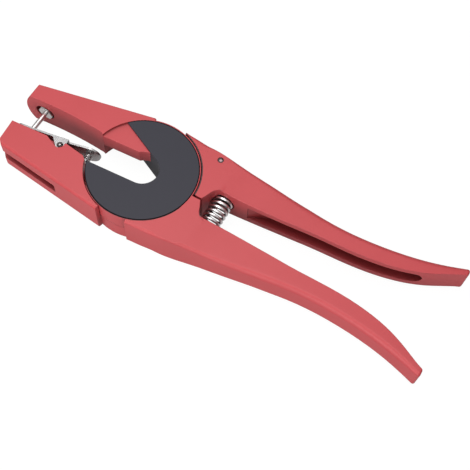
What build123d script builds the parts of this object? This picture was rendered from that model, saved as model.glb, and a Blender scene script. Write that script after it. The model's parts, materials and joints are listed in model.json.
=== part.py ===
"""Ear tag applicator: crossing red levers on an open ring pivot, with a tag pin and a sprung clip.

Plan view: the jaws point to -X, the handles to +X. Positions are measured from the pivot axis, in
millimetres, and the base planes carry them to the part's frame, whose origin is the middle of the
overall length and width on the underside.
"""
import os
from math import cos, radians, sin, sqrt, tan

from build123d import *

# Driving dimensions, overall
jaw_reach = 78.8            # pivot to the foremost point of the jaw that carries the pin
handle_reach = 170.5        # pivot to the end of the handles
head_t = 21.0               # thickness of jaws and pivot
lever_gap = 0.3             # gap between the two half-lapped hubs
running_gap = 0.08          # radial clearance of parts that turn on each other
seat_gap = 0.05             # radial clearance of parts that sit in each other
opening_angle = 29.0        # the jaws' travel from the shown position to fully open
closing_angle = 1.5         # and their travel to fully closed
stop_gap = 1.2              # gap left at the closing stop
over = 1.0                  # how far a cutter runs past the faces that it cuts

# Pivot
flange_r = 29.5
flange_side_gap = 0.25      # between a flange's rim and its recess
hub_rim = 0.45              # wall of the hub round that recess
hub_gap = 0.4               # between a hub and the other lever's concave face round it
throat_r = 8.8
journal_wall = 2.2          # round the throat
collar_wall = 8.2           # and round its lower half, in the lower hub
top_flange_t = 1.2
bottom_flange_t = 2.0
flange_face_gap = 0.2       # between the top flange and the lever that turns under it
mouth_low_angle = 183.5     # direction of the throat's lower edge
mouth_high_angle = 154.5    # direction of its upper edge
post_r = 3.5
post_angles = (50, 256, 330)
post_seat_z = 4.6           # underside of the posts, in the lower hub
slot_gap = 0.35             # between a post and its curved slot
screw_r = 1.75
screw_head_r = 3.2
screw_slot_w = 0.8
screw_slot_t = 0.9
screw_reach = 10.0          # how far a screw's hole goes up into its post
screw_end_gap = 0.5         # between a screw's end and the end of its hole

# Jaw that carries the pin
jaw_tip_bulge = 3.5         # how far the tip's middle stands out past its top and bottom corners
pin_jaw_in_y = 6.9          # inner face at the tip
pin_jaw_mid_y = 8.7         # inner face at its arch
pin_jaw_neck = 0.6          # the arch ends this far outside the hub's clearance
pin_jaw_neck_y = 8.0
pin_jaw_root = 1.9          # the inner face meets the hub this far inside its rim
pin_jaw_root_y = 7.1
pin_jaw_tip_out_y = 15.2
pin_jaw_root_drop = 0.4     # the outer edge ends this far inside the hub's rim
pin_jaw_end_angle = 108.5
jaw_edge_r = 0.8
jaw_end_inset = 2.0         # how far the jaws' ends reach into the hub

# Pin and its nut
pin_setback = 11.5          # from the jaw's tip
pin_r = 1.4
pin_thread_r = 2.0
pin_point_r = 0.25
pin_reach = 22.5            # pin length below the jaw's face
pin_cone = 3.2
pin_thread = 4.2            # pin length above the nut, in the jaw
pin_end_gap = 1.0           # between the thread's end and the end of its hole
nut_flats = 8.0
nut_t = 3.2
nut_chamfer = 0.35
nut_sink = 0.6              # nut face below the jaw's face
recess_length = 11.0
recess_height = 9.0

# Jaw that carries the clip
clip_jaw_setback = 4.5      # its tip, behind the other jaw's tip
clip_jaw_tip_in_y = 9.9
clip_jaw_in_y = 8.35        # inner face at the clip's pivot
clip_jaw_rise = 3.2         # highest point of the inner face, behind the clip's pivot
clip_jaw_rise_y = 7.35
clip_jaw_low_in_y = 8.9     # inner face in front of the hub
clip_jaw_root = 1.6         # the inner face meets the hub this far inside its rim
clip_jaw_root_y = 10.5
clip_jaw_chin = 3.2         # the tip's lower corner, behind the tip
clip_jaw_front = 0.9        # and the corner above that
clip_jaw_front_y = 22.4
clip_jaw_tip_out_y = 24.8
clip_jaw_root_rise = 1.6    # the outer edge ends this far outside the hub's rim
clip_jaw_end_angle = 255.4
clip_jaw_edge_r = 1.6
channel_w = 6.8
channel_reach = 9.0         # from the clip's pivot towards the hub

# Clip
clip_t = 1.0
clip_w = 16.8
clip_pivot_gap = 15.2       # from the hub's rim to the clip's pivot
clip_pivot_y = 8.7
clip_front = 4.5            # the front end, past the tag pin
clip_front_y = 8.2         # upper face at the front end
clip_bend = 6.5             # first bend, in front of the clip's pivot
clip_bend_y = 5.3
clip_tail_bend = 2.3        # second bend, behind the clip's pivot
clip_tail_bend_y = 3.7
clip_tail = 18.9            # end of the tail, behind the clip's pivot
clip_tail_y = -0.2          # upper face at the end of the tail, above the middle line
fork_w = 6.4
fork_reach = 10.5           # the fork's slot goes on this far past the pin
fork_tip_r = 2.0
clip_tail_w = 12.0
clip_bend_r = 3.0
ear_r = 2.5
ear_gap = 0.35              # between an ear and the floor of its notch
notch_reach = 8.6           # from the clip's pivot to the front end of its notch
notch_end_y = 8.05          # where the notch's floor meets its front end
clip_pin_r = 1.6
clip_pin_bore_r = 0.8
clip_pin_proud = 0.5        # how far the clip's pin stands out of each ear
clip_spring_back = 13.2     # behind the clip's pivot
clip_spring_r = 1.95        # to the middle of the wire
clip_spring_wire_r = 0.3
clip_spring_turns = 6.0
clip_spring_pocket = 2.0
clip_spring_gap = 0.2       # radial, in its pocket
clip_spring_lift = 0.6      # room for the slope of the clip's tail

# Handles
over_t = 0.4                # the handles' sections start this much thicker than the head, then are cut flat
lean = 0.0267               # sideways lean of both handles to +Y, for each millimetre of length
lean_start = 26.0
end_trim = 0.52             # what the rounding of the handles' ends takes off the overall width
# Each station in the hub: distance before the hub's rim, drop of the outer edge below the rim, width,
# thickness added to the head's, outer corner radius
root_stations = (
    (21.9, -0.7, 21.6, over_t, 1.5),
    (6.2, 0.5, 20.4, over_t, 2.0),
    (-7.8, 1.9, 19.1, over_t, 2.0),
)
# Each station of the free handle, before its groove: share of its length, then as above
neck_stations = (
    (0.0606, 2.8, 18.4, -1.5, 2.0),
    (0.1361, 3.7, 17.4, -3.0, 2.4),
)
# And from the groove's full depth to the end
grip_stations = (
    (0.2266, 5.0, 15.6, -3.8, 2.8),
    (0.3472, 6.9, 12.8, -4.2, 3.0),
    (0.4830, 8.5, 10.4, -4.6, 3.0),
    (0.6189, 8.2, 10.0, -5.0, 3.0),
    (0.7396, 6.5, 9.5, -5.4, 3.0),
    (0.8604, 3.4, 7.75, -5.7, 3.0),
    (0.9208, 1.3, 6.0, -5.8, 2.6),
    (1.0, -2.0, 4.2, -6.0, 2.0),
)
handle_inner_r = 0.6
handle_end_r = 1.2
lug_gap = 4.8               # from the hub's rim to the lug's end on the middle line
lug_bend = 6.8              # to its first corner
lug_bend_share = 0.54       # height of that corner, as a share of half the gap between the handles
lug_arc = 8.5               # to the middle of its round side
lug_arc_share = 0.88
lug_end = 12.3              # to its end on the handle
lug_end_sink = 1.0          # how far that lies inside the handle
lug_root = 6.0              # the lug starts this far inside the hub's rim
lug_root_sink = 4.0
groove_ramp = 11.0
groove_start_h = 10.5       # groove height at its start
groove_end_h = 8.8          # groove height at its rounded end
groove_end_gap = 9.0        # from its end to the last station but one
groove_depth = 5.5

# Return spring
spring_gap = 13.0           # from the hub's rim to the spring's axis
spring_r = 4.75             # to the middle of the wire
spring_wire_r = 0.85
spring_pitch = 2.6
spring_sink = 5.3           # how far the spring's ends lie inside the handles
spring_pocket_gap = 0.5

# Spring pin in the handle
roll_pin_out = 2.0          # outside the hub's rim, along the handle
roll_pin_drop = 5.1         # and this far below the rim's height
roll_pin_r = 1.6
roll_pin_bore_r = 0.9
roll_pin_sink = 0.2

# Derived
pivot_x = (jaw_reach - handle_reach) / 2
hub_r = flange_r + flange_side_gap + hub_rim
mid_z = head_t / 2
low_hub_top = mid_z - lever_gap / 2
high_hub_base = mid_z + lever_gap / 2
floor_z = head_t - top_flange_t
recess_floor_z = floor_z - flange_face_gap
recess_r = flange_r + flange_side_gap
hub_clear_r = hub_r + hub_gap
journal_r = throat_r + journal_wall
collar_r = throat_r + collar_wall
post_ring_r = (collar_r + flange_r) / 2
mouth_length = sqrt((hub_r + hub_gap / 2) ** 2 - throat_r ** 2)
pin_x = jaw_reach - pin_setback
clip_jaw_tip_x = jaw_reach - clip_jaw_setback
clip_pivot_x = hub_r + clip_pivot_gap
clip_front_x = pin_x + clip_front
clip_bend_x = clip_pivot_x + clip_bend
clip_tail_bend_x = clip_pivot_x - clip_tail_bend
clip_tail_x = clip_pivot_x - clip_tail
clip_spring_x = clip_pivot_x - clip_spring_back
channel_end_x = clip_pivot_x - channel_reach
slot_angle = opening_angle + closing_angle
notch_depth = (head_t - clip_w) / 2 + clip_t + ear_gap
notch_left_x = -clip_pivot_x - notch_reach
notch_right_x = -clip_pivot_x + ear_r + ear_gap
clip_axis = (-clip_pivot_x, -clip_pivot_y)
clip_spring_base_y = clip_jaw_low_in_y + clip_spring_pocket
nut_top_y = pin_jaw_in_y + nut_sink + nut_t
pin_tip_y = pin_jaw_in_y - pin_reach
screw_length = post_seat_z + screw_reach - screw_end_gap
tail_slope = (clip_tail_bend_y - clip_tail_y) / (clip_tail_bend_x - clip_tail_x)
clip_spring_side_x = clip_spring_x + clip_spring_r + clip_spring_lift
clip_spring_top_y = -clip_tail_y - (clip_spring_side_x - clip_tail_x) * tail_slope - clip_t
clip_spring_height = clip_spring_base_y + clip_spring_top_y - 2 * clip_spring_wire_r - 3 * seat_gap
handle_root_x = hub_r - root_stations[-1][0]
handle_stations = [
    (hub_r - inside, hub_r - drop, hub_r - drop - width, head_t + more_t, corner_r)
    for inside, drop, width, more_t, corner_r in root_stations
]
free_length = handle_reach - handle_root_x
for share, drop, width, more_t, corner_r in neck_stations + grip_stations:
    outer_y = hub_r - drop
    handle_stations.append(
        (handle_root_x + share * free_length, outer_y, outer_y - width, head_t + more_t, corner_r)
    )
groove_stations = handle_stations[-len(grip_stations):-1]
groove_full_x = groove_stations[0][0]
groove_start_x = groove_full_x - groove_ramp
groove_end_x = groove_stations[-1][0] - groove_end_gap
handle_gap = handle_stations[2][2]
lug_end_x = hub_r + lug_end
lug_end_y = handle_gap + lug_end_sink
spring_x = hub_r + spring_gap
spring_end_y = handle_gap + spring_sink
roll_pin_place = (hub_r + roll_pin_out, hub_r - roll_pin_drop)
end_lean = lean * (handle_reach - lean_start)
pivot_y = (hub_r + clip_jaw_root_rise - handle_stations[-1][1] - end_lean + end_trim) / 2
side = Plane((pivot_x, pivot_y, 0), x_dir=(1, 0, 0), z_dir=(0, -1, 0))


def level(z):
    """Horizontal plane at height z, centred on the pivot."""
    return Plane((pivot_x, pivot_y, z))


def across(x):
    """Upright plane across the handles at a distance x from the pivot: Y to the right, Z up."""
    return Plane((pivot_x + x, pivot_y, 0), x_dir=(0, 1, 0), z_dir=(1, 0, 0))


def upright(x, y):
    """Upright plane facing +Y, through the middle of the thickness, x in front of the pivot."""
    return Plane((pivot_x - x, pivot_y + y, mid_z), x_dir=(-1, 0, 0), z_dir=(0, 1, 0))


def polar(radius, angle):
    return (radius * cos(radians(angle)), radius * sin(radians(angle)))


def lean_at(x):
    """How far the handles' middle line has moved to +Y at x."""
    return lean * max(x - lean_start, 0)


def screw_place(angle):
    """Head of a flange screw on the underside, pointing down."""
    x, y = polar(post_ring_r, angle)
    return Location((pivot_x + x, pivot_y + y, 0), (180, 0, 0))


def screw_section(angle):
    """Upright plane through a flange screw: radius to the right, height up."""
    x, y = polar(post_ring_r, angle)
    return Plane((pivot_x + x, pivot_y + y, 0), x_dir=(1, 0, 0), z_dir=(0, -1, 0))


def screw_section_axis(angle):
    x, y = polar(post_ring_r, angle)
    return Axis((pivot_x + x, pivot_y + y, 0), (0, 0, 1))


def throat(turn=0.0):
    """The open throat as a prism: a round centre and a wedge that widens to the rim."""
    low_angle = mouth_low_angle + turn
    high_angle = mouth_high_angle + turn
    low = Vector(*polar(throat_r, low_angle + 90))
    high = Vector(*polar(throat_r, high_angle - 90))
    low_end = low + Vector(*polar(mouth_length, low_angle))
    high_end = high + Vector(*polar(mouth_length, high_angle))
    outside = Vector(*polar(hub_r + throat_r, (low_angle + high_angle) / 2))
    with BuildPart() as cutter:
        with BuildSketch(level(-over)):
            Circle(throat_r)
            with BuildLine():
                Polyline((0, 0), low, low_end, outside, high_end, high, (0, 0))
            make_face()
        extrude(amount=head_t + 2 * over)
    return cutter.part


def handle_body(hand):
    """One handle with its lug; hand is +1 for the handle on +Y and -1 for the one on -Y."""
    def at(x, y):
        return (x, hand * y)

    with BuildPart() as handle:
        for x, outer_y, inner_y, thickness, corner_r in handle_stations:
            with BuildSketch(across(x)):
                with Locations((hand * (outer_y + inner_y) / 2 + lean_at(x), mid_z)):
                    Rectangle(outer_y - inner_y, thickness)
                by_side = vertices().sort_by(Axis.X)
                outer_corners = by_side[-2:] if hand > 0 else by_side[:2]
                inner_corners = by_side[:2] if hand > 0 else by_side[-2:]
                fillet(outer_corners, corner_r)
                fillet(inner_corners, handle_inner_r)
        loft()
        with BuildSketch(level(0)):
            with Locations((handle_reach / 2, 0)):
                Rectangle(handle_reach + 2 * over, 4 * hub_r)
        extrude(amount=head_t, mode=Mode.INTERSECT)
        end_face = faces().sort_by(Axis.X)[-1]
        fillet(end_face.edges(), handle_end_r)
        with BuildSketch(level(0)):
            with BuildLine():
                lug_corner = at(hub_r + lug_bend, lug_bend_share * handle_gap)
                Polyline(
                    at(lug_end_x, lug_end_y),
                    at(lug_end_x, handle_gap + lug_root_sink),
                    at(hub_r - lug_root, handle_gap + lug_root_sink),
                    at(hub_r - lug_root, stop_gap / 2),
                    at(hub_r + lug_gap, stop_gap / 2),
                    lug_corner,
                )
                ThreePointArc(
                    lug_corner,
                    at(hub_r + lug_arc, lug_arc_share * handle_gap),
                    at(lug_end_x, lug_end_y),
                )
            make_face()
        extrude(amount=head_t)
        with Locations(Location((pivot_x + spring_x, pivot_y, mid_z), (-90 * hand, 0, 0))):
            Cylinder(
                spring_r + spring_wire_r + spring_pocket_gap,
                spring_end_y,
                align=(Align.CENTER, Align.CENTER, Align.MIN),
                mode=Mode.SUBTRACT,
            )
    return handle


def handle_groove(hand):
    """The deep groove along a handle's inner face, which ramps in and ends round."""
    end_r = groove_end_h / 2
    half = groove_start_h / 2
    tip_x = groove_end_x - end_r
    inside = [(x, hand * (y + groove_depth) + lean_at(x)) for x, _, y, _, _ in groove_stations]
    with BuildPart() as groove:
        with BuildSketch(side):
            with BuildLine():
                Line((groove_start_x, mid_z - half), (groove_start_x, mid_z + half))
                Line((groove_start_x, mid_z + half), (tip_x, mid_z + end_r))
                ThreePointArc((tip_x, mid_z + end_r), (groove_end_x, mid_z), (tip_x, mid_z - end_r))
                Line((tip_x, mid_z - end_r), (groove_start_x, mid_z - half))
            make_face()
        extrude(amount=2 * hub_r, both=True)
        with BuildSketch(level(0)):
            with BuildLine():
                ramp_start = (groove_start_x, hand * groove_stations[0][2] + lean_at(groove_start_x))
                axis_start = (groove_start_x, 0)
                axis_end = (inside[-1][0], 0)
                Spline(*inside)
                Polyline(inside[0], ramp_start, axis_start, axis_end, inside[-1])
            make_face()
        extrude(amount=head_t, mode=Mode.INTERSECT)
    return groove


def disc(radius, base_z, top_z):
    """A round plate on the pivot axis."""
    with BuildPart() as plate:
        with BuildSketch(level(base_z)):
            Circle(radius)
        extrude(amount=top_z - base_z)
    return plate.part


def posts(radius, base_z, top_z):
    """Round bars on the screw positions."""
    with BuildPart() as bars:
        with BuildSketch(level(base_z)):
            for angle in post_angles:
                with Locations(polar(post_ring_r, angle)):
                    Circle(radius)
        extrude(amount=top_z - base_z)
    return bars.part


# Jaw that carries the pin, before its hub is added
with BuildPart() as pin_jaw:
    with BuildSketch(level(0)):
        with BuildLine():
            tip = (-jaw_reach - over, pin_jaw_in_y)
            tip_outer = (-jaw_reach - over, pin_jaw_tip_out_y)
            root = (-hub_r + pin_jaw_root, pin_jaw_root_y)
            neck = (-hub_clear_r - pin_jaw_neck, pin_jaw_neck_y)
            arch = (-(jaw_reach + hub_clear_r + pin_jaw_neck) / 2, pin_jaw_mid_y)
            end_inner = polar(hub_r - jaw_end_inset, pin_jaw_end_angle)
            end_outer_y = hub_r - pin_jaw_root_drop
            end_outer = (end_outer_y / tan(radians(pin_jaw_end_angle)), end_outer_y)
            ThreePointArc(tip, arch, neck)
            Line(neck, root)
            Line(root, end_inner)
            Line(end_inner, end_outer)
            Line(end_outer, tip_outer)
            Line(tip_outer, tip)
        make_face()
    extrude(amount=head_t)
    with BuildSketch(side):
        with BuildLine():
            corner_x = -jaw_reach + jaw_tip_bulge
            Polyline((corner_x, head_t), (0, head_t), (0, 0), (corner_x, 0))
            ThreePointArc((corner_x, 0), (-jaw_reach, mid_z), (corner_x, head_t))
        make_face()
    extrude(amount=2 * hub_r, both=True, mode=Mode.INTERSECT)
    outer_face = faces().sort_by(Axis.Y)[-1]
    fillet(outer_face.edges().filter_by(Axis.Z, reverse=True), jaw_edge_r)

# Jaw that carries the clip, before its hub is added
with BuildPart() as clip_jaw:
    with BuildSketch(level(0)):
        end_outer_y = -hub_r - clip_jaw_root_rise
        with BuildLine():
            Polyline(
                (-clip_jaw_tip_x, -clip_jaw_tip_in_y),
                (notch_left_x, -clip_jaw_in_y),
                (-clip_pivot_x + clip_jaw_rise, -clip_jaw_rise_y),
                (-hub_clear_r, -clip_jaw_low_in_y),
                (-hub_r + clip_jaw_root, -clip_jaw_root_y),
                polar(hub_r - jaw_end_inset, clip_jaw_end_angle),
                (end_outer_y / tan(radians(clip_jaw_end_angle)), end_outer_y),
                (-clip_jaw_tip_x + clip_jaw_chin, -clip_jaw_tip_out_y),
                (-clip_jaw_tip_x + clip_jaw_front, -clip_jaw_front_y),
                (-clip_jaw_tip_x, -clip_jaw_tip_in_y),
            )
        make_face()
    extrude(amount=head_t)
    outer_face = faces().filter_by(lambda f: f.normal_at().Y < -0.9).sort_by(Axis.Y)[0]
    fillet(outer_face.edges().filter_by(Axis.Z, reverse=True), clip_jaw_edge_r)

low_handle = handle_body(-1)
high_handle = handle_body(1)
low_groove = handle_groove(-1)
high_groove = handle_groove(1)

# Lever that carries the pin: upper jaw, upper half of the hub, lower handle
with BuildPart() as pin_lever:
    add(pin_jaw.part)
    add(low_handle.part)
    add(disc(hub_clear_r, -over, high_hub_base), mode=Mode.SUBTRACT)
    add(disc(hub_r, high_hub_base, head_t))
    add(disc(recess_r, recess_floor_z, head_t + over), mode=Mode.SUBTRACT)
    add(throat(opening_angle), mode=Mode.SUBTRACT)
    add(disc(journal_r + running_gap, 0, head_t), mode=Mode.SUBTRACT)
    with BuildSketch(level(high_hub_base)):
        for angle in post_angles:
            with BuildLine():
                slot_path = CenterArc((0, 0), post_ring_r, angle - closing_angle, slot_angle)
            SlotArc(slot_path, 2 * (post_r + slot_gap))
    extrude(amount=head_t, mode=Mode.SUBTRACT)
    add(low_groove.part, mode=Mode.SUBTRACT)
    # Recess for the nut and hole for the pin's thread, in the jaw's inner face
    recess_x = pin_x + (recess_length - recess_height) / 4
    with BuildSketch(upright(recess_x, 0)):
        SlotOverall(recess_length, recess_height)
    extrude(amount=nut_top_y + seat_gap, mode=Mode.SUBTRACT)
    with BuildSketch(upright(pin_x, 0)):
        Circle(pin_thread_r + seat_gap)
    extrude(amount=nut_top_y + pin_thread + pin_end_gap, mode=Mode.SUBTRACT)

# Lever that carries the clip: lower jaw, lower half of the hub, upper handle
with BuildPart() as clip_lever:
    add(clip_jaw.part)
    add(high_handle.part)
    add(disc(hub_clear_r, low_hub_top, head_t + over), mode=Mode.SUBTRACT)
    add(disc(hub_r, 0, low_hub_top))
    add(disc(recess_r, -over, bottom_flange_t), mode=Mode.SUBTRACT)
    add(throat(), mode=Mode.SUBTRACT)
    add(disc(collar_r + seat_gap, 0, head_t), mode=Mode.SUBTRACT)
    add(posts(post_r + seat_gap, post_seat_z, head_t), mode=Mode.SUBTRACT)
    add(posts(screw_r + 2 * seat_gap, 0, head_t), mode=Mode.SUBTRACT)
    add(high_groove.part, mode=Mode.SUBTRACT)
    # Channel for the pin and the tag, open at the tip and on both faces of the jaw
    with BuildSketch(side):
        with Locations((-(jaw_reach + channel_end_x) / 2, mid_z)):
            Rectangle(jaw_reach - channel_end_x, channel_w)
    extrude(amount=2 * hub_r, mode=Mode.SUBTRACT)
    # Notches for the clip's ears, from both sides of the jaw
    for z, into in ((head_t, -notch_depth), (0, notch_depth)):
        with BuildSketch(level(z)):
            with BuildLine():
                CenterArc(clip_axis, ear_r + ear_gap, 0, 360)
                Line((notch_left_x, -notch_end_y), (notch_left_x, 0))
                Line((notch_left_x, 0), (notch_right_x, 0))
            make_hull()
        extrude(amount=into, mode=Mode.SUBTRACT)
    with BuildSketch(level(0)):
        with Locations(clip_axis):
            Circle(clip_pin_r + seat_gap)
    extrude(amount=head_t, mode=Mode.SUBTRACT)
    # Seat of the clip's spring
    with BuildSketch(upright(clip_spring_x, -clip_spring_base_y)):
        Circle(clip_spring_r + clip_spring_wire_r + clip_spring_gap)
    extrude(amount=clip_spring_base_y, mode=Mode.SUBTRACT)
    # Hole of the spring pin beside the hub
    with BuildSketch(level(0)):
        with Locations(roll_pin_place):
            Circle(roll_pin_r + seat_gap)
    extrude(amount=head_t, mode=Mode.SUBTRACT)

# Top flange: open disc, stepped journal and screw posts in one casting
with BuildPart() as top_flange:
    add(disc(flange_r, floor_z, head_t))
    add(disc(journal_r, bottom_flange_t, floor_z))
    add(disc(collar_r, bottom_flange_t, low_hub_top))
    add(posts(post_r, post_seat_z, floor_z))
    add(posts(screw_r + seat_gap, post_seat_z, post_seat_z + screw_reach), mode=Mode.SUBTRACT)
    add(throat(), mode=Mode.SUBTRACT)

# Bottom flange: open disc with countersunk screw holes
with BuildPart() as bottom_flange:
    add(disc(flange_r, 0, bottom_flange_t))
    add(throat(), mode=Mode.SUBTRACT)
    with Locations(*[screw_place(angle) for angle in post_angles]):
        CounterSinkHole(screw_r + seat_gap, screw_head_r + 2 * seat_gap, counter_sink_angle=90)

# Flange screws, countersunk, each with a crossed slot
flange_screws = []
for number, angle in enumerate(post_angles, start=1):
    with BuildPart() as screw:
        with BuildSketch(screw_section(angle)):
            with BuildLine():
                Polyline(
                    (0, 0),
                    (screw_head_r, 0),
                    (screw_r, screw_head_r - screw_r),
                    (screw_r, screw_length),
                    (0, screw_length),
                    (0, 0),
                )
            make_face()
        revolve(axis=screw_section_axis(angle))
        with Locations(screw_place(angle)):
            for turn in (0, 90):
                with Locations(Location((0, 0, 0), (0, 0, turn))):
                    Box(
                        2 * screw_r,
                        screw_slot_w,
                        2 * screw_slot_t,
                        mode=Mode.SUBTRACT,
                    )
    screw.part.label = f"flange_screw_{number}"
    flange_screws.append(screw)

# Tag pin: a thread above the nut, a plain shank and a long point
with BuildPart() as applicator_pin:
    with BuildSketch(level(mid_z)):
        with BuildLine():
            Polyline(
                (-pin_x, nut_top_y + pin_thread),
                (-pin_x + pin_thread_r, nut_top_y + pin_thread),
                (-pin_x + pin_thread_r, nut_top_y - nut_t),
                (-pin_x + pin_r, nut_top_y - nut_t),
                (-pin_x + pin_r, pin_tip_y + pin_cone),
                (-pin_x + pin_point_r, pin_tip_y),
                (-pin_x, pin_tip_y),
                (-pin_x, nut_top_y + pin_thread),
            )
        make_face()
    revolve(axis=Axis((pivot_x - pin_x, pivot_y, mid_z), (0, 1, 0)))

# Hex nut that the pin is held by
with BuildPart() as pin_nut:
    with BuildSketch(upright(pin_x, nut_top_y - nut_t)):
        RegularPolygon(nut_flats / 2, 6, major_radius=False)
        Circle(pin_thread_r + seat_gap, mode=Mode.SUBTRACT)
    extrude(amount=nut_t)
    chamfer(edges().group_by(Axis.Y)[0].filter_by(GeomType.LINE), nut_chamfer)

# Clip: folded sheet with a forked front, two ears on the pivot and a rounded tail
with BuildPart() as clip_plate:
    with BuildSketch(level(mid_z - clip_w / 2)):
        with BuildLine():
            FilletPolyline(
                (-clip_front_x, -clip_front_y),
                (-clip_bend_x, -clip_bend_y),
                (-clip_tail_bend_x, -clip_tail_bend_y),
                (-clip_tail_x, -clip_tail_y),
                radius=clip_bend_r,
            )
            offset(amount=clip_t, side=Side.RIGHT)
        make_face()
    extrude(amount=clip_w)
    with BuildSketch(side):
        with Locations((-clip_tail_bend_x, mid_z)):
            Rectangle(clip_front_x - clip_tail_bend_x, clip_w, align=(Align.MAX, Align.CENTER))
        fillet(vertices().sort_by(Axis.X)[:2], fork_tip_r)
        with Locations((-(clip_bend_x + clip_tail_x) / 2, mid_z)):
            SlotOverall(clip_bend_x - clip_tail_x, clip_tail_w)
        with Locations((-clip_front_x, mid_z)):
            SlotOverall(2 * (clip_front + fork_reach), fork_w, mode=Mode.SUBTRACT)
    extrude(amount=hub_r, both=True, mode=Mode.INTERSECT)
    for ear_z in (mid_z - clip_w / 2, mid_z + clip_w / 2 - clip_t):
        with BuildSketch(level(ear_z)):
            with BuildLine():
                CenterArc(clip_axis, ear_r, 0, 360)
                Line(
                    (-clip_bend_x, -clip_bend_y - clip_t / 2),
                    (-clip_tail_bend_x, -clip_tail_bend_y - clip_t / 2),
                )
            make_hull()
            with Locations(clip_axis):
                Circle(clip_pin_r + running_gap, mode=Mode.SUBTRACT)
        extrude(amount=clip_t)

# Spring pins: rolled tubes with a slit
with BuildPart() as clip_pin:
    with BuildSketch(level(mid_z - clip_w / 2 - clip_pin_proud)):
        with Locations(clip_axis):
            Circle(clip_pin_r)
            Circle(clip_pin_bore_r, mode=Mode.SUBTRACT)
    extrude(amount=clip_w + 2 * clip_pin_proud)

with BuildPart() as roll_pin:
    with BuildSketch(level(roll_pin_sink)):
        with Locations(roll_pin_place):
            Circle(roll_pin_r)
            Circle(roll_pin_bore_r, mode=Mode.SUBTRACT)
    extrude(amount=head_t - 2 * roll_pin_sink)


def coil(centre, radius, wire_r, height, turns):
    """Helical spring along +Y from its lowest point."""
    with BuildPart() as spring:
        with BuildLine():
            path = Helix(height / turns, height, radius, center=centre, direction=(0, 1, 0))
        with BuildSketch(Plane(path @ 0, z_dir=path % 0)):
            Circle(wire_r)
        sweep(is_frenet=True)
    return spring


return_spring = coil(
    (pivot_x + spring_x, pivot_y - spring_end_y + spring_wire_r + seat_gap, mid_z),
    spring_r,
    spring_wire_r,
    2 * (spring_end_y - spring_wire_r - seat_gap),
    round(2 * spring_end_y / spring_pitch),
)
clip_spring = coil(
    (pivot_x - clip_spring_x, pivot_y - clip_spring_base_y + clip_spring_wire_r + seat_gap, mid_z),
    clip_spring_r,
    clip_spring_wire_r,
    clip_spring_height,
    clip_spring_turns,
)

pin_lever.part.label = "pin_lever"
clip_lever.part.label = "clip_lever"
top_flange.part.label = "top_flange"
bottom_flange.part.label = "bottom_flange"
applicator_pin.part.label = "applicator_pin"
pin_nut.part.label = "pin_nut"
clip_plate.part.label = "clip_plate"
clip_pin.part.label = "clip_pin"
roll_pin.part.label = "roll_pin"
return_spring.part.label = "return_spring"
clip_spring.part.label = "clip_spring"

os.makedirs("parts", exist_ok=True)
export_step(pin_lever.part, "parts/pin_lever.step")
export_step(clip_lever.part, "parts/clip_lever.step")
export_step(top_flange.part, "parts/top_flange.step")
export_step(bottom_flange.part, "parts/bottom_flange.step")
for screw in flange_screws:
    export_step(screw.part, f"parts/{screw.part.label}.step")
export_step(applicator_pin.part, "parts/applicator_pin.step")
export_step(pin_nut.part, "parts/pin_nut.step")
export_step(clip_plate.part, "parts/clip_plate.step")
export_step(clip_pin.part, "parts/clip_pin.step")
export_step(roll_pin.part, "parts/roll_pin.step")
export_step(return_spring.part, "parts/return_spring.step")
export_step(clip_spring.part, "parts/clip_spring.step")

print("pivot", pivot_x, pivot_y, "clip pivot", pivot_x - clip_pivot_x, pivot_y - clip_pivot_y)
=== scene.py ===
"""Looks of the ear tag applicator: red coated castings, black flanges, plated springs, pin and clip.

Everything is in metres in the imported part's frame: +X from the jaws to the handles, +Z up.
"""

import json
from math import cos, pi, radians, sin

import bmesh
import bpy
import numpy as np
from mathutils import Matrix, Vector


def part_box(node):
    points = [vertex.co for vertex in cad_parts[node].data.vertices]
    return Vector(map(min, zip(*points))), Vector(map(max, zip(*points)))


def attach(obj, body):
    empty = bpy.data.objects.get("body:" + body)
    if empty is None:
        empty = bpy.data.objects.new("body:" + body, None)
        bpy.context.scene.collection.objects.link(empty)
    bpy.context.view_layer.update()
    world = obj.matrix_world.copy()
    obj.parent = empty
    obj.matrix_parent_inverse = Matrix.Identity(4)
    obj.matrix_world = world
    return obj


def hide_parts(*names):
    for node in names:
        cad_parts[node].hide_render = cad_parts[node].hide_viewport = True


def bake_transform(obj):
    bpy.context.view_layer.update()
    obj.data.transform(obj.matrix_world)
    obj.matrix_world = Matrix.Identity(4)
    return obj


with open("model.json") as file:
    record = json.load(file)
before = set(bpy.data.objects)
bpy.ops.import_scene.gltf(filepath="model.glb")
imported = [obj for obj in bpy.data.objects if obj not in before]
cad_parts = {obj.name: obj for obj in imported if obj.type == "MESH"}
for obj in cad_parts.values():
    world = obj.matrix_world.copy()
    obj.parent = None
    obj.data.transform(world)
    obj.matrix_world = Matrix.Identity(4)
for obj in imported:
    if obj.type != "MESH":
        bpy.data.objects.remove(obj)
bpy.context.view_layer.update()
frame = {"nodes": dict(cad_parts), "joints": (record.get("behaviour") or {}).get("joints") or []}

MM = 0.001
joints = {joint["name"]: joint for joint in frame["joints"]}
pivot = np.array(joints["lever_pivot"]["pos_m"])
mid_z = pivot[2]


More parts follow.
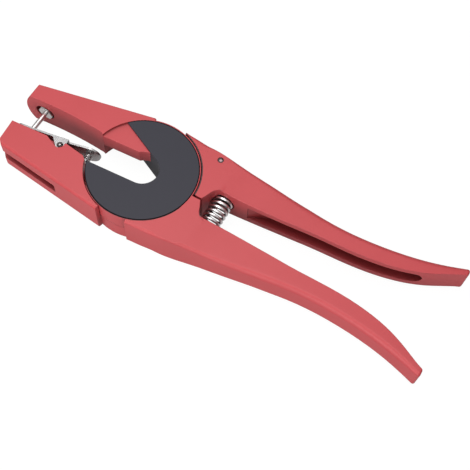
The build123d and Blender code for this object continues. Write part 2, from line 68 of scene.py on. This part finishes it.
class Sum:
    """A shader value that Python's operators extend with Math nodes."""

    def __init__(self, tree, socket):
        self.tree = tree
        self.socket = socket

    def math(self, operation, other, **settings):
        settings["operation"] = operation
        made = add_node(self.tree, "ShaderNodeMath", settings, {0: self, 1: other})
        return Sum(self.tree, made.outputs[0])

    def __add__(self, other):
        return self.math("ADD", other)

    __radd__ = __add__

    def __mul__(self, other):
        return self.math("MULTIPLY", other)

    __rmul__ = __mul__

    def __sub__(self, other):
        return self.math("SUBTRACT", other)

    def __rsub__(self, other):
        return (self * -1.0) + other

    def __pow__(self, other):
        return self.math("POWER", other)

    def clamp(self):
        """The value itself, kept between 0 and 1."""
        return self.math("ADD", 0.0, use_clamp=True)

    def between(self, low, high):
        """t * t * (3 - 2 t) with t from 0 at low to 1 at high."""
        made = add_node(
            self.tree, "ShaderNodeMapRange", {"interpolation_type": "SMOOTHSTEP"},
            {"Value": self, "From Min": low, "From Max": high},
        )
        return Sum(self.tree, made.outputs["Result"])


def add_node(tree, kind, settings=None, sockets=None):
    """A node by its type: its settings are set first, then the values or links of its sockets, each by
    its name or its number."""
    made = tree.nodes.new(kind)
    for name, value in (settings or {}).items():
        setattr(made, name, value)
    for name, value in (sockets or {}).items():
        if isinstance(value, Sum):
            value = value.socket
        if isinstance(value, bpy.types.NodeSocket):
            tree.links.new(value, made.inputs[name])
        else:
            made.inputs[name].default_value = value
    return made


def mix_colour(tree, factor, first, second):
    """first * (1 - factor) + second * factor, for colours."""
    made = add_node(
        tree, "ShaderNodeMix", {"data_type": "RGBA", "clamp_factor": True}, {0: factor, 6: first, 7: second}
    )
    return made.outputs[2]


def new_material(name):
    """A material without nodes, and its node tree."""
    made = bpy.data.materials.new(name)
    made.use_nodes = True
    made.node_tree.nodes.clear()
    return made, made.node_tree


def finish_material(tree, shader):
    add_node(tree, "ShaderNodeOutputMaterial", {}, {"Surface": shader.outputs[0]})


def noise(tree, scale, detail=2.0, rough=0.5, stretch=(1, 1, 1)):
    """Noise on Object coordinates, stretched by a Mapping node; scale is in waves per metre."""
    place = add_node(tree, "ShaderNodeTexCoord")
    mapping = add_node(
        tree, "ShaderNodeMapping", {}, {"Vector": place.outputs["Object"], "Scale": stretch}
    )
    made = add_node(
        tree, "ShaderNodeTexNoise", {},
        {"Vector": mapping.outputs[0], "Scale": scale, "Detail": detail, "Roughness": rough},
    )
    return Sum(tree, made.outputs["Fac"])


def rounded_edges(tree, radius):
    """Normal with its edges rounded, and a mask that is 1 along the edges: it rises with
    1 - rounded normal . true normal."""
    bevel = add_node(tree, "ShaderNodeBevel", {"samples": 6}, {"Radius": radius})
    shape = add_node(tree, "ShaderNodeNewGeometry")
    dot = add_node(
        tree, "ShaderNodeVectorMath", {"operation": "DOT_PRODUCT"},
        {0: bevel.outputs[0], 1: shape.outputs["Normal"]},
    )
    edge = (1.0 - Sum(tree, dot.outputs["Value"])).between(0.02, 0.25)
    return bevel.outputs[0], edge


def bumps(tree, height, strength, depth, normal):
    """Small relief on top of an already rounded normal; depth is in metres."""
    made = add_node(
        tree, "ShaderNodeBump", {},
        {"Height": height, "Strength": strength, "Distance": depth, "Normal": normal},
    )
    return made.outputs[0]


def crevice_shade(tree, reach, gain):
    """Mask of painted shade: 0 in the open and up to 1 in the piece's own corners and slots:
    gain * (1 - openness), kept between 0 and 1."""
    made = add_node(
        tree, "ShaderNodeAmbientOcclusion", {"samples": 8, "only_local": True}, {"Distance": reach}
    )
    return ((1.0 - Sum(tree, made.outputs["AO"])) * gain).clamp()


def place_from(tree, centre, axes):
    """Offsets a and b in millimetres of the Object coordinates from a centre along two axes, and their
    distance (a * a + b * b) ** 0.5."""
    place = add_node(tree, "ShaderNodeTexCoord")
    parts = add_node(tree, "ShaderNodeSeparateXYZ", {}, {"Vector": place.outputs["Object"]})
    first, second = ((Sum(tree, parts.outputs[axis]) - at) * (1 / MM) for axis, at in zip(axes, centre))
    return first, second, (first * first + second * second) ** 0.5


# Colours of the coats, linear: the even red coat twice, a painted edge highlight, painted shade in deep
# corners, a painted shadow in the joint gaps; the black coat twice and its painted edge shade; painted shade
# for the coil's inner half
RED = (0.565, 0.060, 0.068, 1)
RED_CLOUDY = (0.590, 0.067, 0.076, 1)
RED_EDGE_HIGHLIGHT = (0.66, 0.15, 0.16, 1)
RED_CREVICE_SHADE = (0.10, 0.007, 0.007, 1)
RED_GAP_SHADOW = (0.012, 0.006, 0.007, 1)
BLACK = (0.036, 0.035, 0.046, 1)
BLACK_CLOUDY = (0.044, 0.043, 0.056, 1)
BLACK_EDGE_SHADE = (0.004, 0.003, 0.005, 1)
COIL_INNER_SHADE = (0.035, 0.032, 0.034, 1)


def paint_material(name, joint_from, joint_to, shadow_side):
    """Semi-matt red powder coat: a fine orange peel and faint cloudiness, with a painted highlight along the
    edges and painted shade in deep corners. A painted shadow darkens the ring between joint_from and
    joint_to millimetres from the pivot axis, in the half that lies towards shadow_side, a direction in
    degrees."""
    made, tree = new_material(name)
    normal, edge = rounded_edges(tree, 0.45 * MM)
    cloud = noise(tree, 34.0, 3.0)
    grain = noise(tree, 1500.0, 2.0, 0.6)
    peel = noise(tree, 520.0, 2.0, 0.5)
    colour = mix_colour(tree, cloud.between(0.3, 0.7), RED, RED_CLOUDY)
    # painted highlight along the edges, paler where the grain is high
    colour = mix_colour(tree, edge * (0.25 + 0.35 * grain), colour, RED_EDGE_HIGHLIGHT)
    # painted shade in the deep corners and slots
    colour = mix_colour(tree, crevice_shade(tree, 11 * MM, 1.4) * 0.88, colour, RED_CREVICE_SHADE)
    along_x, along_y, distance = place_from(tree, pivot[:2], "XY")
    # painted shadow of the joint gap: a ring, only on the half that faces shadow_side
    past_joint = distance.between(joint_to - 0.12, joint_to)
    ring = distance.between(joint_from, joint_from + 0.08) * (1.0 - past_joint)
    across = along_x * cos(radians(shadow_side)) + along_y * sin(radians(shadow_side))
    gap_shadow = ring * across.between(0.0, 3.0)
    colour = mix_colour(tree, gap_shadow * 0.94, colour, RED_GAP_SHADOW)
    relief = bumps(tree, peel * 0.7 + grain * 0.3, 0.22, 0.05 * MM, normal)
    shader = add_node(
        tree, "ShaderNodeBsdfPrincipled", {},
        {"Base Color": colour, "Roughness": 0.44 + 0.10 * cloud, "Normal": relief},
    )
    finish_material(tree, shader)
    return made


def black_material(rim_from):
    """Matt black coat on cast metal, with painted shade along its edges and a painted shadow on the rim
    that starts rim_from millimetres from the pivot axis, which is also duller."""
    made, tree = new_material("black_coat")
    normal, edge = rounded_edges(tree, 0.25 * MM)
    cloud = noise(tree, 60.0, 4.0, 0.6)
    grain = noise(tree, 1800.0, 2.0, 0.6)
    colour = mix_colour(tree, cloud, BLACK, BLACK_CLOUDY)
    distance = place_from(tree, pivot[:2], "XY")[2]
    # painted shade along the edges and painted shadow on the rim beside the gap
    rim = distance.between(rim_from, rim_from + 0.1)
    colour = mix_colour(tree, (edge * 0.8 + rim).clamp(), colour, BLACK_EDGE_SHADE)
    relief = bumps(tree, grain, 0.25, 0.03 * MM, normal)
    shader = add_node(
        tree, "ShaderNodeBsdfPrincipled", {},
        {"Base Color": colour, "Roughness": 0.50 + 0.12 * cloud + 0.35 * rim, "Specular IOR Level": 0.25,
         "Normal": relief},
    )
    finish_material(tree, shader)
    return made


def metal_material(name, colour, roughness, streak=(1, 1, 1), coil=None):
    """Plated or bare steel: a metallic base whose roughness and tint vary along fine streaks. For a coil,
    given by its axis (x, z) in metres and the radius of its wire's middle in millimetres, the inward half
    of the wire gets painted shade."""
    made, tree = new_material(name)
    normal = rounded_edges(tree, 0.12 * MM)[0]
    lines = noise(tree, 900.0, 3.0, 0.6, streak)
    cloud = noise(tree, 120.0, 3.0, 0.5)
    darker = tuple(0.82 * part for part in colour[:3]) + (1,)
    tint = mix_colour(tree, cloud.between(0.35, 0.7), colour, darker)
    if coil:
        axis_x, axis_z, middle = coil
        distance = place_from(tree, (axis_x, axis_z), "XZ")[2]
        # painted shade on the inward half of the coil's wire
        tint = mix_colour(tree, distance.between(middle - 0.25, middle + 0.35), COIL_INNER_SHADE, tint)
    relief = bumps(tree, lines, 0.12, 0.02 * MM, normal)
    shader = add_node(
        tree, "ShaderNodeBsdfPrincipled", {},
        {"Base Color": tint, "Metallic": 1.0, "Roughness": roughness + 0.10 * lines, "Normal": relief},
    )
    finish_material(tree, shader)
    return made


# Rings round the pivot axis, in millimetres: where the painted shadow on the black rim starts, and each
# lever's ring of painted shadow at its joint gap
FLANGE_RIM = 29.1
HUB_JOINT = (29.55, 30.1)
HANDLE_JOINT = (30.3, 31.3)
COIL_WIRE = 0.85 * MM
CLIP_COIL_WIRE = 0.3 * MM

coil_low, coil_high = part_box("return_spring")
coil_axis = ((coil_low.x + coil_high.x) / 2, mid_z, (coil_high.x - coil_low.x) / 2 / MM - COIL_WIRE / MM)

red_pin_side = paint_material("red_coat_pin_lever", *HUB_JOINT, 255)
red_clip_side = paint_material("red_coat_clip_lever", *HANDLE_JOINT, 30)
black = black_material(FLANGE_RIM)
coil_steel = metal_material("coil_steel", (0.80, 0.79, 0.80, 1), 0.24, coil=coil_axis)
spring_steel = metal_material("spring_steel", (0.62, 0.61, 0.61, 1), 0.20)
pin_steel = metal_material("pin_steel", (0.72, 0.70, 0.69, 1), 0.24, (1, 0.1, 1))
clip_steel = metal_material("clip_steel", (0.44, 0.43, 0.43, 1), 0.22, (0.15, 1, 1))
dark_steel = metal_material("dark_steel", (0.07, 0.06, 0.06, 1), 0.38)
dull_steel = metal_material("dull_steel", (0.42, 0.30, 0.31, 1), 0.50)
screw_zinc = metal_material("screw_zinc", (0.55, 0.55, 0.57, 1), 0.30)


def set_material(piece, material):
    piece.data.materials.clear()
    piece.data.materials.append(material)


def new_piece(name, points, faces, material):
    """A mesh piece from whole arrays of points and faces."""
    mesh = bpy.data.meshes.new(name)
    mesh.from_pydata(points.tolist(), [], faces)
    mesh.validate()
    mesh.shade_smooth()
    piece = bpy.data.objects.new(name, mesh)
    bpy.context.scene.collection.objects.link(piece)
    set_material(piece, material)
    return piece


def grid_faces(rows, columns):
    """Quads between the rows of a grid, closed round its columns."""
    row, column = np.meshgrid(np.arange(rows - 1), np.arange(columns), indexing="ij")
    beside = (column + 1) % columns
    quads = np.stack(
        (row * columns + column, row * columns + beside, (row + 1) * columns + beside,
         (row + 1) * columns + column), axis=-1,
    )
    return quads.reshape(-1, 4).tolist()


def tube(name, path, tangent, side, radius, material, round_steps=14):
    """A round wire: each path point carries a circle spanned by side and tangent x side.
    Its two ends are closed with one face each."""
    other = np.cross(tangent, side)
    angle = np.linspace(0, 2 * pi, round_steps, endpoint=False)
    ring = side[:, None, :] * np.cos(angle)[None, :, None] + other[:, None, :] * np.sin(angle)[None, :, None]
    points = path[:, None, :] + np.reshape(radius, (-1, 1, 1)) * ring
    rows = len(path)
    faces = grid_faces(rows, round_steps)
    faces.append(list(range(round_steps))[::-1])
    faces.append([(rows - 1) * round_steps + step for step in range(round_steps)])
    return new_piece(name, points.reshape(-1, 3), faces, material)


def helix(centre, radius, length, turns, end_turns, wire, steps_per_turn=40):
    """Points, tangents and radial directions of a coil along +Y. After t turns a point is at
    radius * (cos 2 pi t, -sin 2 pi t) in X and Z and has risen by the sum of closed + rise * inner(t),
    where closed is 1.02 wire thicknesses per turn, inner goes smoothly from 0 in the end turns to 1
    between them, and rise makes up the length. wire is the wire's radius."""
    count = int(turns * steps_per_turn) + 1
    turn = np.linspace(0, turns, count)
    inner = np.clip((turn - end_turns) / 0.35, 0, 1) * np.clip((turns - end_turns - turn) / 0.35, 0, 1)
    inner = inner * inner * (3 - 2 * inner)
    closed = 2.04 * wire
    span = turn[1] - turn[0]
    open_sum = np.sum((inner[1:] + inner[:-1]) / 2) * span
    rise = (length - closed * turns) / open_sum
    slope = closed + rise * inner
    height = np.concatenate(([0.0], np.cumsum((slope[1:] + slope[:-1]) / 2) * span))
    angle = 2 * pi * turn
    out = np.stack((np.cos(angle), np.zeros(count), -np.sin(angle)), axis=-1)
    path = np.array(centre) + radius * out + height[:, None] * np.array((0.0, 1.0, 0.0))
    tangent = np.gradient(path, axis=0)
    tangent /= np.linalg.norm(tangent, axis=1, keepdims=True)
    side = out - np.sum(out * tangent, axis=1, keepdims=True) * tangent
    side /= np.linalg.norm(side, axis=1, keepdims=True)
    return path, tangent, side


def spring_piece(name, node, wire, turns, end_turns, material):
    """A coil in the place of a CAD spring node, along its axis from its lower Y end to its upper one."""
    low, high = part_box(node)
    radius = (high.x - low.x) / 2 - wire
    length = (high.y - low.y) - 2 * wire
    centre = ((low.x + high.x) / 2, low.y + wire, (low.z + high.z) / 2)
    path, tangent, side = helix(centre, radius, length, turns, end_turns, wire)
    piece = tube(name, path, tangent, side, wire, material)
    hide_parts(node)
    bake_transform(piece)


spring_piece("return_spring_coil", "return_spring", COIL_WIRE, 11, 1.0, coil_steel)
spring_piece("clip_spring_coil", "clip_spring", CLIP_COIL_WIRE, 7, 0.8, spring_steel)


def rolled_pin(node, bore_share, slit_deg, slit_turn_deg, chamfer, material):
    """A spring pin in the place of a CAD pin: a C-shaped section, outer arc r * (cos, sin) there and
    inner arc back, stacked at four heights, of which the first and last are drawn in by the chamfer."""
    low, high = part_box(node)
    centre = np.array(((low.x + high.x) / 2, (low.y + high.y) / 2))
    outer = (high.x - low.x) / 2
    bore = bore_share * outer
    half_slit = radians(slit_deg) / 2
    steps = 40
    angle = radians(slit_turn_deg) + np.linspace(half_slit, 2 * pi - half_slit, steps)
    heights = np.array((low.z, low.z + chamfer, high.z - chamfer, high.z))
    outer_r = np.array((outer - chamfer, outer, outer, outer - chamfer))
    arc = np.stack((np.cos(angle), np.sin(angle)), axis=-1)
    section = np.concatenate(
        (outer_r[:, None, None] * arc[None], np.broadcast_to(bore * arc[::-1], (4, steps, 2))), axis=1
    )
    tall = np.broadcast_to(heights[:, None, None], (4, 2 * steps, 1))
    points = np.concatenate((section + centre, tall), axis=-1).reshape(-1, 3)
    faces = grid_faces(4, 2 * steps)
    step = np.arange(steps - 1)
    lid = np.stack((step, 2 * steps - 1 - step, 2 * steps - 2 - step, step + 1), axis=-1)
    faces += lid.tolist()
    faces += (lid[:, ::-1] + 3 * 2 * steps).tolist()
    piece = new_piece(node + "_rolled", points, faces, material)
    piece.data.shade_flat()
    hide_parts(node)
    return piece


def bore_plug(node, share, sink, material):
    """Coat that has filled a pin's bore to just below both ends: a short round bar, radius * (cos, sin)
    at the two heights, each end closed with one face."""
    low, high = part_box(node)
    centre = np.array(((low.x + high.x) / 2, (low.y + high.y) / 2))
    radius = share * (high.x - low.x) / 2
    steps = 28
    angle = np.linspace(0, 2 * pi, steps, endpoint=False)
    ring = centre + radius * np.stack((np.cos(angle), np.sin(angle)), axis=-1)
    heights = (low.z + sink, high.z - sink)
    points = np.concatenate([np.column_stack((ring, np.full(steps, height))) for height in heights])
    faces = grid_faces(2, steps)
    faces.append(list(range(steps))[::-1])
    faces.append(list(range(steps, 2 * steps)))
    piece = new_piece(node + "_filling", points, faces, material)
    piece.data.shade_flat()
    return piece


# The solid's handle sags between its first two sections, which lie this far behind the pivot
ROOT_START = 8.3
ROOT_END = 24.0
ROOT_SAG = 1.66
ROOT_SLIMMING = 0.5
SIDE_START = 28.3
SIDE_BLEND = 1.3
HUB_R = 30.15
LUG_END = 42.5
LUG_Y = 14.0
LUG_SINK = 0.35
LUG_REACH = 0.08


def mend_handle(points, hand):
    """Points of a lever whose handle, on the side hand * Y, is filled out at its root. With t from 0 to 1
    between the first two sections, a curve through them sags by 27/4 t (1 - t)^2 of its greatest sag.
    Outside the hub, heights from the middle grow by half / (half - sag), kept inside the head, and the
    outer side moves out by its own slimming. The lug's end edge sinks by LUG_SINK from both faces."""
    x = (points[:, 0] - pivot[0]) / MM
    y = (points[:, 1] - pivot[1]) / MM * hand
    z = points[:, 2] / MM
    half = mid_z / MM
    t = np.clip((x - ROOT_START) / (ROOT_END - ROOT_START), 0, 1)
    sag = 27 / 4 * t * (1 - t) ** 2 * ((y > 0) & (np.hypot(x, y) > HUB_R))
    z = np.clip(half + (z - half) * half / (half - ROOT_SAG * sag), 0, 2 * half)
    share = np.clip((y - SIDE_START) / SIDE_BLEND, 0, 1)
    lug = (np.abs(x - LUG_END) < LUG_REACH) & (y > 0) & (y < LUG_Y)
    z = np.where(lug, np.clip(z, LUG_SINK, 2 * half - LUG_SINK), z)
    y = y + ROOT_SLIMMING * sag * share * share * (3 - 2 * share)
    return np.stack((points[:, 0], pivot[1] + y * hand * MM, z * MM), axis=-1)


def smooth_copy(node, body, material, hand=0, sharp_deg=32):
    """The CAD node's own mesh, merged and shaded smooth between its sharp edges. A lever's handle, on +Y
    with hand +1 and on -Y with hand -1, is mended first."""
    work = bmesh.new()
    work.from_mesh(frame["nodes"][node].data)
    bmesh.ops.remove_doubles(work, verts=work.verts, dist=0.002 * MM)
    for face in work.faces:
        face.smooth = True
    limit = radians(sharp_deg)
    for edge in work.edges:
        edge.smooth = len(edge.link_faces) == 2 and edge.calc_face_angle(0) < limit
    mesh = bpy.data.meshes.new(node + "_skin")
    work.to_mesh(mesh)
    work.free()
    if hand:
        places = np.empty(3 * len(mesh.vertices))
        mesh.vertices.foreach_get("co", places)
        mesh.vertices.foreach_set("co", mend_handle(places.reshape(-1, 3), hand).ravel())
        mesh.update()
    piece = bpy.data.objects.new(node + "_skin", mesh)
    bpy.context.scene.collection.objects.link(piece)
    set_material(piece, material)
    weighted = piece.modifiers.new("flat_faces_stay_flat", "WEIGHTED_NORMAL")
    weighted.keep_sharp = True
    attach(piece, body)
    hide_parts(node)
    return piece


# CAD node, the body it rides on, its material and its slot in the record
SKINS = (
    ("pin_lever", "pin_side", red_pin_side, "red_paint"),
    ("clip_lever", "clip_side", red_clip_side, "red_paint"),
    ("top_flange", "clip_side", black, "black_coat"),
    ("bottom_flange", "clip_side", black, "black_coat"),
    ("clip_plate", "clip", clip_steel, "clip_steel"),
    ("applicator_pin", "pin_side", pin_steel, "pin_steel"),
    ("pin_nut", "pin_side", pin_steel, "pin_steel"),
    ("flange_screw_1", "clip_side", screw_zinc, "screw_steel"),
    ("flange_screw_2", "clip_side", screw_zinc, "screw_steel"),
    ("flange_screw_3", "clip_side", screw_zinc, "screw_steel"),
)
HANDS = {"clip_lever": 1, "pin_lever": -1}
for node, body, material, slot in SKINS:
    smooth_copy(node, body, material, HANDS.get(node, 0))

# Node, bore's share of the pin's thickness, direction of the slit in degrees, what fills the bore
PINS = (
    ("clip_pin", 0.34, 20, pin_steel),
    ("roll_pin", 0.56, 75, dull_steel),
)
PIN_SLIT_DEG = 30
PIN_CHAMFER = 0.15 * MM
PLUG_SINK = 0.35 * MM
for node, bore_share, slit_turn_deg, filling in PINS:
    pin = rolled_pin(node, bore_share, PIN_SLIT_DEG, slit_turn_deg, PIN_CHAMFER, dark_steel)
    plug = bore_plug(node, bore_share - 0.02, PLUG_SINK, filling)
    for piece in (pin, plug):
        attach(piece, "clip_side")


def floor_material():
    """Pale floor that stays near white for the camera and keeps a soft part of the shadow."""
    made, tree = new_material("pale_floor")
    path = add_node(tree, "ShaderNodeLightPath")
    seen = Sum(tree, path.outputs["Is Camera Ray"])
    glossy = Sum(tree, path.outputs["Is Glossy Ray"])
    matt = add_node(tree, "ShaderNodeBsdfDiffuse", {}, {"Color": (0.50, 0.50, 0.50, 1)})
    bright = add_node(tree, "ShaderNodeEmission", {}, {"Color": (1, 1, 1, 1), "Strength": 1.12})
    mix = add_node(
        tree, "ShaderNodeMixShader", {},
        {0: seen * 0.86 + glossy * 0.35, 1: matt.outputs[0], 2: bright.outputs[0]},
    )
    finish_material(tree, mix)
    return made


def make_floor():
    """A square of floor under the object, 2 * half metres wide."""
    half = 3.0
    points = np.array([(-half, -half, 0), (half, -half, 0), (half, half, 0), (-half, half, 0)], float)
    floor = new_piece("floor", points, [[0, 1, 2, 3]], floor_material())


def make_world():
    """White surroundings for the camera and weak fill light. Reflections see a dim room that brightens
    towards the ceiling: its strength is 0.10 + 0.70 * smoothstep of the direction's height from 0.15 to
    0.75."""
    world = bpy.data.worlds.new("studio")
    bpy.context.scene.world = world
    world.use_nodes = True
    tree = world.node_tree
    tree.nodes.clear()
    path = add_node(tree, "ShaderNodeLightPath")
    seen = Sum(tree, path.outputs["Is Camera Ray"])
    glossy = Sum(tree, path.outputs["Is Glossy Ray"])
    direction = add_node(tree, "ShaderNodeTexCoord")
    parts = add_node(tree, "ShaderNodeSeparateXYZ", {}, {"Vector": direction.outputs["Generated"]})
    ceiling = Sum(tree, parts.outputs["Z"]).between(0.15, 0.75)
    strength = seen * 0.78 + glossy * (0.70 * ceiling - 0.12) + 0.22
    sky = add_node(tree, "ShaderNodeBackground", {}, {"Color": (1, 1, 1, 1), "Strength": strength})
    add_node(tree, "ShaderNodeOutputWorld", {}, {"Surface": sky.outputs[0]})


def soft_lamp(name, place, aim, size, power):
    """A square soft box that faces the point aim."""
    lamp = bpy.data.lights.new(name, "AREA")
    lamp.shape = "SQUARE"
    lamp.size = size
    lamp.energy = power
    holder = bpy.data.objects.new(name, lamp)
    direction = Vector(aim) - Vector(place)
    holder.location = place
    holder.rotation_euler = direction.to_track_quat("-Z", "Y").to_euler()
    bpy.context.scene.collection.objects.link(holder)


# Camera: solved from the round flange and the levers' straight edges, in millimetres from the pivot's foot
CAMERA_PLACE = (139.7, -181.3, 410.3)
CAMERA_RIGHT = (0.8709, 0.4901, 0.039)
CAMERA_AHEAD = (-0.1844, 0.3981, -0.899)
CAMERA_LENS = 66.54


def make_camera():
    """The camera, with right and up made square to its direction: right - (right . ahead) ahead."""
    data = bpy.data.cameras.new("camera")
    data.lens = CAMERA_LENS
    data.sensor_width = 36.0
    data.clip_start = 0.01
    camera = bpy.data.objects.new("camera", data)
    ahead = Vector(CAMERA_AHEAD).normalized()
    right = Vector(CAMERA_RIGHT)
    right = (right - right.dot(ahead) * ahead).normalized()
    up = right.cross(ahead)
    turn = Matrix((right, up, -ahead)).transposed().to_4x4()
    foot = Vector((pivot[0], pivot[1], 0))
    camera.matrix_world = Matrix.Translation(foot + Vector(CAMERA_PLACE) * MM) @ turn
    bpy.context.scene.collection.objects.link(camera)
    bpy.context.scene.camera = camera


make_floor()
make_world()
LAMP_SIZE = 0.5
LAMP_POWER = 3.6
soft_lamp("top_box", (-0.14, 0.03, 0.75), (0.0, 0.0, 0.0), LAMP_SIZE, LAMP_POWER)
soft_lamp("front_box", (-0.05, -0.75, 0.33), (0.0, 0.0, 0.0), LAMP_SIZE, LAMP_POWER)
make_camera()
bpy.context.scene.view_settings.view_transform = "Standard"
